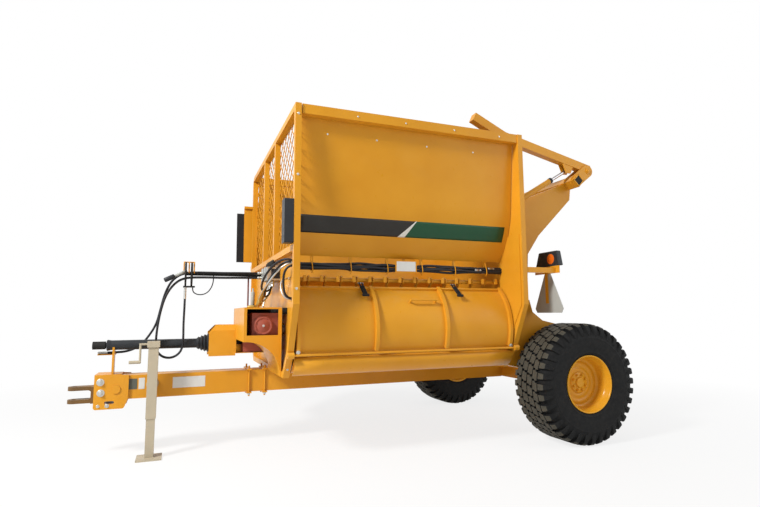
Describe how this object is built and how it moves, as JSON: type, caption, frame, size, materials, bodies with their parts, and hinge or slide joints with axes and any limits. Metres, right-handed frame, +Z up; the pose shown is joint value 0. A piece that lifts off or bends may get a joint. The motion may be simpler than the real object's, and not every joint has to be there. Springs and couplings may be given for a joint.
{
  "type": "bale processor",
  "caption": "Trailed bale processor: open curved hopper with side flail rotor, rear bale loader with folding forks, drawbar, driveline and parking jack.",
  "frame": {"origin": "on the ground, at the middle of the machine's length and width", "axes": "+X forward to the hitch, +Y to the machine's left, +Z up"},
  "size_m": [4.98, 2.84, 3.1887],
  "materials": {
    "body_paint": "gloss paint, dusty",
    "rim_paint": "gloss paint",
    "tyre_rubber": "dull rubber",
    "black_rubber": "dull rubber",
    "gear_red": "painted casting",
    "black_plastic": "matt",
    "grey_steel": "worn steel",
    "jack_grey": "satin paint",
    "chrome_rod": "polished rod",
    "cylinder_black": "gloss paint"
  },
  "bodies": {
    "frame": {"drawbar": "body_paint", "hitch_head": "body_paint", "hitch_clevis": "grey_steel", "jack_tube": "jack_grey", "axle": "body_paint", "front_frame": "body_paint", "front_panel": "body_paint", "front_screen": "body_paint", "rear_frame": "body_paint", "rear_panel": "body_paint", "top_rails": "body_paint", "wall_left": "body_paint", "wall_right": "body_paint", "bale_floor": "body_paint", "rotor_pan": "body_paint", "slug_bars": "grey_steel", "gearbox": "gear_red", "gearbox_shield": "body_paint", "pto_tunnel": "body_paint", "pto_shaft": "grey_steel", "pto_guard": "black_plastic", "pto_stand": "body_paint", "hanger_plates": "body_paint", "rear_lamps": "black_plastic", "triangle_sign": "grey_steel", "side_hoses": "black_rubber", "beam_clamps": "grey_steel", "valve_block": "grey_steel", "hose_support": "body_paint", "document_box": "black_plastic", "hose_couplers": "grey_steel", "cable": "black_rubber", "hose_far_1": "black_rubber", "hose_far_2": "black_rubber", "hose_near_1": "black_rubber", "hose_near_2": "black_rubber"},
    "wheel_left": {"rim_left": "rim_paint", "tyre_left": "tyre_rubber"},
    "wheel_right": {"rim_right": "rim_paint", "tyre_right": "tyre_rubber"},
    "rotor": {"rotor": "grey_steel"},
    "roller": {"feed_roller": "body_paint"},
    "cover": {"drum_cover": "body_paint", "cover_latches": "black_rubber"},
    "deflector": {"deflector": "body_paint", "deflector_rubber": "black_rubber"},
    "lift": {"lift_arms": "body_paint"},
    "jack": {"jack_leg": "jack_grey"},
    "fork_left": {"fork_left": "body_paint"},
    "lift_barrel_left": {"lift_barrel_left": "cylinder_black"},
    "lift_rod_left": {"lift_rod_left": "chrome_rod"},
    "fold_barrel_left": {"fold_barrel_left": "cylinder_black"},
    "fold_rod_left": {"fold_rod_left": "chrome_rod"},
    "fork_right": {"fork_right": "body_paint"},
    "lift_barrel_right": {"lift_barrel_right": "cylinder_black"},
    "lift_rod_right": {"lift_rod_right": "chrome_rod"},
    "fold_barrel_right": {"fold_barrel_right": "cylinder_black"},
    "fold_rod_right": {"fold_rod_right": "chrome_rod"}
  },
  "joints": [
    {"name": "wheel_spin_left", "type": "hinge", "parent": "frame", "child": "wheel_left", "pos_m": [-1.8675, 1.195, 0.55], "axis": [0, 1, 0], "continuous": true},
    {"name": "wheel_spin_right", "type": "hinge", "parent": "frame", "child": "wheel_right", "pos_m": [-1.8675, -1.195, 0.55], "axis": [0, 1, 0], "continuous": true},
    {"name": "rotor_spin", "type": "hinge", "parent": "frame", "child": "rotor", "pos_m": [-0.2475, 0.62, 1.07], "axis": [1, 0, 0], "continuous": true},
    {"name": "roller_spin", "type": "hinge", "parent": "frame", "child": "roller", "pos_m": [-0.2475, -0.26, 1.43], "axis": [1, 0, 0], "continuous": true},
    {"name": "cover_hinge", "type": "hinge", "parent": "frame", "child": "cover", "pos_m": [-0.2475, 1.068, 0.878], "axis": [-1, 0, 0], "range_deg": [0, 100]},
    {"name": "deflector_hinge", "type": "hinge", "parent": "frame", "child": "deflector", "pos_m": [-0.2475, -1.29, 1.77], "axis": [1, 0, 0], "range_deg": [0, 150]},
    {"name": "jack_slide", "type": "slide", "parent": "frame", "child": "jack", "axis": [0, 0, 1], "range_m": [0, 0.27]},
    {"name": "loader_lift", "type": "hinge", "parent": "frame", "child": "lift", "pos_m": [-1.5675, 0, 1.25], "axis": [0, -1, 0], "range_deg": [0, 100]},
    {"name": "fork_fold_left", "type": "hinge", "parent": "lift", "child": "fork_left", "pos_m": [-2.4075, 0.9, 2.72], "axis": [0, -1, 0], "range_deg": [0, 65]},
    {"name": "lift_barrel_swing_left", "type": "hinge", "parent": "frame", "child": "lift_barrel_left", "pos_m": [-1.4375, 0.7, 0.8], "axis": [0, -1, 0], "range_deg": [-1, 49.72]},
    {"name": "lift_rod_slide_left", "type": "slide", "parent": "lift_barrel_left", "child": "lift_rod_left", "axis": [-0.2053, 0, 0.9787], "range_m": [-0.2785, 0.005]},
    {"name": "fold_barrel_swing_left", "type": "hinge", "parent": "lift", "child": "fold_barrel_left", "pos_m": [-1.5375, 0.9, 2.34], "axis": [0, -1, 0], "range_deg": [-8.17, 1]},
    {"name": "fold_rod_slide_left", "type": "slide", "parent": "fold_barrel_left", "child": "fold_rod_left", "axis": [-0.8593, 0, 0.5115], "range_m": [-0.005, 0.2405]},
    {"name": "fork_fold_right", "type": "hinge", "parent": "lift", "child": "fork_right", "pos_m": [-2.4075, -0.9, 2.72], "axis": [0, -1, 0], "range_deg": [0, 65]},
    {"name": "lift_barrel_swing_right", "type": "hinge", "parent": "frame", "child": "lift_barrel_right", "pos_m": [-1.4375, -0.7, 0.8], "axis": [0, -1, 0], "range_deg": [-1, 49.72]},
    {"name": "lift_rod_slide_right", "type": "slide", "parent": "lift_barrel_right", "child": "lift_rod_right", "axis": [-0.2053, 0, 0.9787], "range_m": [-0.2785, 0.005]},
    {"name": "fold_barrel_swing_right", "type": "hinge", "parent": "lift", "child": "fold_barrel_right", "pos_m": [-1.5375, -0.9, 2.34], "axis": [0, -1, 0], "range_deg": [-8.17, 1]},
    {"name": "fold_rod_slide_right", "type": "slide", "parent": "fold_barrel_right", "child": "fold_rod_right", "axis": [-0.8593, 0, 0.5115], "range_m": [-0.005, 0.2405]}
  ],
  "couplings": [
    {"joint": "lift_barrel_swing_left", "follows": "loader_lift", "ratio": 0.48721},
    {"joint": "lift_rod_slide_left", "follows": "loader_lift", "m_per_rad": -0.15672},
    {"joint": "fold_barrel_swing_left", "follows": "fork_fold_left", "ratio": -0.11024},
    {"joint": "fold_rod_slide_left", "follows": "fork_fold_left", "m_per_rad": 0.20757},
    {"joint": "lift_barrel_swing_right", "follows": "loader_lift", "ratio": 0.48721},
    {"joint": "lift_rod_slide_right", "follows": "loader_lift", "m_per_rad": -0.15672},
    {"joint": "fold_barrel_swing_right", "follows": "fork_fold_right", "ratio": -0.11024},
    {"joint": "fold_rod_slide_right", "follows": "fork_fold_right", "m_per_rad": 0.20757}
  ]
}
